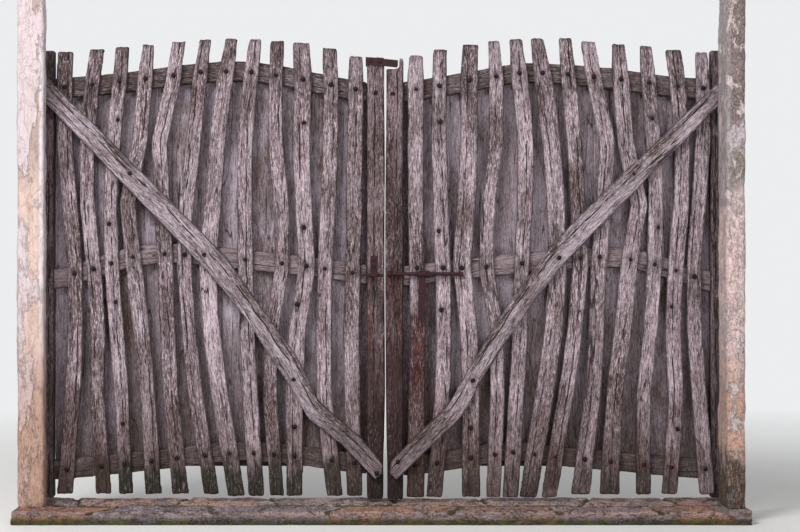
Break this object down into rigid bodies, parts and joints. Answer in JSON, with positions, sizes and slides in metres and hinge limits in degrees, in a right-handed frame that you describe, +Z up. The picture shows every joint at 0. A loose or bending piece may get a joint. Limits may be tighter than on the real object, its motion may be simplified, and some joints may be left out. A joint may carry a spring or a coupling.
{
  "type": "double-leaf rustic wooden gate",
  "caption": "Weathered double-leaf gate of crooked split pickets nailed to arched rails, with diagonal braces, a rusty sliding bolt and hasp, stone jamb posts and a flagstone threshold.",
  "frame": {"origin": "on the underside of the threshold, halfway along it, under the front face of the rails", "axes": "+X along the opening from the left jamb to the right one, +Y back through it, the way the leaves swing, +Z up"},
  "size_m": [3.136, 0.4, 2.29],
  "materials": {
    "picket_wood": "rough",
    "board_wood": "rough",
    "rail_wood": "rough",
    "brace_wood": "rough",
    "stile_wood": "rough",
    "nail_iron": "rough",
    "rusty_iron": "rough",
    "limewashed_stone": "rough",
    "grey_stone": "rough",
    "flagstone": "rough"
  },
  "bodies": {
    "frame": {"threshold": "flagstone", "jamb_left": "limewashed_stone", "jamb_right": "grey_stone", "hinge_pintles": "rusty_iron"},
    "leaf_left": {"hanging_stile_left": "stile_wood", "meeting_stile_left": "stile_wood", "top_rail_left": "rail_wood", "middle_rail_left": "rail_wood", "bottom_rail_left": "rail_wood", "brace_left": "brace_wood", "picket_left_01": "picket_wood", "picket_left_02": "picket_wood", "picket_left_03": "picket_wood", "picket_left_04": "picket_wood", "picket_left_05": "picket_wood", "picket_left_06": "picket_wood", "picket_left_07": "picket_wood", "picket_left_08": "picket_wood", "picket_left_09": "picket_wood", "picket_left_10": "picket_wood", "picket_left_11": "picket_wood", "picket_left_12": "picket_wood", "back_boards_left_1": "board_wood", "back_boards_left_2": "board_wood", "back_boards_left_3": "board_wood", "back_boards_left_4": "board_wood", "hinge_straps_left": "rusty_iron", "nails_left": "nail_iron", "head_strap": "rusty_iron", "bolt_keeper": "rusty_iron"},
    "leaf_right": {"hanging_stile_right": "stile_wood", "meeting_stile_right": "stile_wood", "top_rail_right": "rail_wood", "middle_rail_right": "rail_wood", "bottom_rail_right": "rail_wood", "brace_right": "brace_wood", "picket_right_01": "picket_wood", "picket_right_02": "picket_wood", "picket_right_03": "picket_wood", "picket_right_04": "picket_wood", "picket_right_05": "picket_wood", "picket_right_06": "picket_wood", "picket_right_07": "picket_wood", "picket_right_08": "picket_wood", "picket_right_09": "picket_wood", "picket_right_10": "picket_wood", "picket_right_11": "picket_wood", "picket_right_12": "picket_wood", "back_boards_right_1": "board_wood", "back_boards_right_2": "board_wood", "back_boards_right_3": "board_wood", "back_boards_right_4": "board_wood", "hinge_straps_right": "rusty_iron", "nails_right": "nail_iron", "bolt_staples": "rusty_iron"},
    "bolt": {"bolt_rod": "rusty_iron"},
    "hasp": {"bolt_hasp": "rusty_iron"}
  },
  "joints": [
    {"name": "leaf_left_swing", "type": "hinge", "parent": "frame", "child": "leaf_left", "pos_m": [-1.523, 0.061, 1], "axis": [0, 0, 1], "range_deg": [0, 100]},
    {"name": "leaf_right_swing", "type": "hinge", "parent": "frame", "child": "leaf_right", "pos_m": [1.523, 0.061, 1], "axis": [0, 0, -1], "range_deg": [0, 100]},
    {"name": "bolt_slide", "type": "slide", "parent": "leaf_right", "child": "bolt", "axis": [-1, 0, 0], "range_m": [0, 0.075]},
    {"name": "hasp_swing", "type": "hinge", "parent": "bolt", "child": "hasp", "pos_m": [0.174, -0.039, 1.063], "axis": [-1, 0, 0], "range_deg": [0, 120]}
  ]
}
